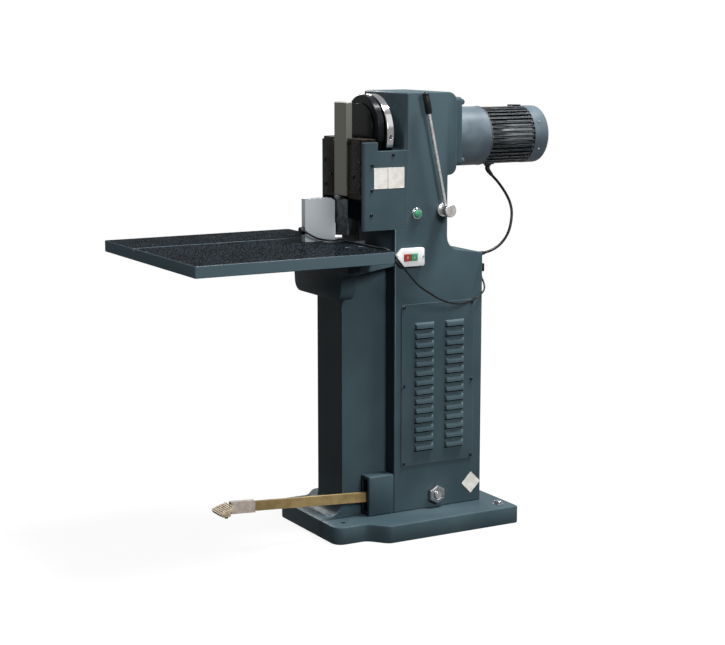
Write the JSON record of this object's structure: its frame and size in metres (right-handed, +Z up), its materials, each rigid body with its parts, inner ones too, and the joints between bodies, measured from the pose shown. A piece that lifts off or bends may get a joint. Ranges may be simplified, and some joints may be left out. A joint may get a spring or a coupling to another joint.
{
  "type": "corner notching press",
  "caption": "Floor-standing motor-driven corner notcher: pedal trips a clutch, an eccentric drives the ram, and a V punch cuts sheet corners over a die in the table.",
  "frame": {"origin": "on the floor, in the middle of the base plate's underside", "axes": "+Z up, -Y towards the operator and the work table, +Y towards the motor, +X towards the side with the switch and the hand lever"},
  "size_m": [0.69, 1.3705, 1.3783],
  "materials": {
    "slate_enamel": "semi-gloss",
    "table_enamel": "gloss",
    "black_enamel": "semi-gloss",
    "polished_steel": "polished",
    "brushed_steel": "ground",
    "tool_steel": "ground",
    "bearing_bronze": "turned",
    "painted_aluminium": "semi-gloss paint",
    "galvanised_sheet": "zinc coated",
    "black_plastic": "satin",
    "black_rubber": "matt",
    "white_plastic": "satin",
    "red_plastic": "gloss",
    "green_plastic": "gloss",
    "mustard_enamel": "satin"
  },
  "bodies": {
    "frame": {"base_plate": "slate_enamel", "column_casting": "slate_enamel", "front_post": "slate_enamel", "pedal_housing": "slate_enamel", "table_saddle": "slate_enamel", "side_plate_right": "slate_enamel", "side_plate_left": "slate_enamel", "motor_adapter": "slate_enamel", "louvre_cover": "slate_enamel", "table": "table_enamel", "guide_rail_right": "black_enamel", "guide_rail_left": "black_enamel", "spring_seat": "black_enamel", "button_bezel": "polished_steel", "die_block": "tool_steel", "return_spring": "tool_steel", "lever_boss": "tool_steel", "front_bush": "bearing_bronze", "rear_bush": "bearing_bronze", "gear_head": "painted_aluminium", "motor_body": "painted_aluminium", "fan_cowl": "painted_aluminium", "front_guard": "galvanised_sheet", "motor_gland": "black_rubber", "rear_gland": "black_rubber", "rear_elbow_gland": "black_rubber", "guard_gland": "black_rubber", "motor_cord": "black_rubber", "guard_cord": "black_rubber", "switch_box": "white_plastic"},
    "crank": {"crank_disc": "polished_steel", "crank_eccentric": "black_enamel", "main_shaft": "tool_steel", "clutch_sleeve": "tool_steel"},
    "rod": {"connecting_rod": "black_enamel"},
    "ram": {"ram": "brushed_steel", "wrist_pin": "tool_steel", "punch_holder": "black_enamel", "punch": "tool_steel"},
    "pedal": {"pedal_bar": "mustard_enamel", "pedal_sleeve": "mustard_enamel", "pedal_pad": "black_rubber", "pedal_shaft": "tool_steel", "shaft_nut_right": "black_enamel", "shaft_nut_left": "black_enamel", "clutch_arm": "black_enamel"},
    "puller": {"pull_rod": "tool_steel", "spring_collar": "tool_steel", "clutch_wedge": "black_enamel"},
    "lever": {"lever_hub": "polished_steel", "lever_rod": "polished_steel", "lever_grip": "black_rubber"},
    "push_button": {"push_button": "green_plastic"},
    "switch_red": {"switch_red": "red_plastic"},
    "switch_green": {"switch_green": "green_plastic"},
    "rotor": {"motor_shaft": "tool_steel", "motor_fan": "black_plastic"}
  },
  "joints": [
    {"name": "crank_turn", "type": "hinge", "parent": "frame", "child": "crank", "pos_m": [0, 0, 1.25], "axis": [0, 1, 0], "range_deg": [0, 180]},
    {"name": "rod_turn", "type": "hinge", "parent": "crank", "child": "rod", "pos_m": [0, 0, 1.2625], "axis": [0, 1, 0], "range_deg": [-180, 0]},
    {"name": "ram_slide", "type": "slide", "parent": "frame", "child": "ram", "axis": [0, 0, 1], "range_m": [-0.025, 0]},
    {"name": "pedal_press", "type": "hinge", "parent": "frame", "child": "pedal", "pos_m": [0.108, 0.078, 0.1], "axis": [1, 0, 0], "range_deg": [0, 5.5], "stiffness_Nm_per_rad": 70, "springref_deg": -12.61},
    {"name": "pull_slide", "type": "slide", "parent": "frame", "child": "puller", "axis": [0, 0, 1], "range_m": [-0.0056, 0], "deforming": ["return_spring"]},
    {"name": "lever_swing", "type": "hinge", "parent": "frame", "child": "lever", "pos_m": [0.135, 0.094, 1.012], "axis": [1, 0, 0], "range_deg": [-25, 20]},
    {"name": "push_button_press", "type": "slide", "parent": "frame", "child": "push_button", "axis": [-1, 0, 0], "range_m": [0, 0.003], "stiffness_N_per_m": 700, "springref_m": -0.001},
    {"name": "switch_red_press", "type": "slide", "parent": "frame", "child": "switch_red", "axis": [-1, 0, 0], "range_m": [0, 0.002], "stiffness_N_per_m": 700, "springref_m": -0.001},
    {"name": "switch_green_press", "type": "slide", "parent": "frame", "child": "switch_green", "axis": [-1, 0, 0], "range_m": [0, 0.002], "stiffness_N_per_m": 700, "springref_m": -0.001},
    {"name": "rotor_spin", "type": "hinge", "parent": "frame", "child": "rotor", "pos_m": [0, 0.475, 1.228], "axis": [0, 1, 0], "continuous": true}
  ],
  "couplings": [
    {"joint": "rod_turn", "follows": "crank_turn", "ratio": -1},
    {"joint": "ram_slide", "follows": "crank_turn", "m_per_rad": -0.0079577},
    {"joint": "pull_slide", "follows": "pedal_press", "m_per_rad": -0.058}
  ]
}
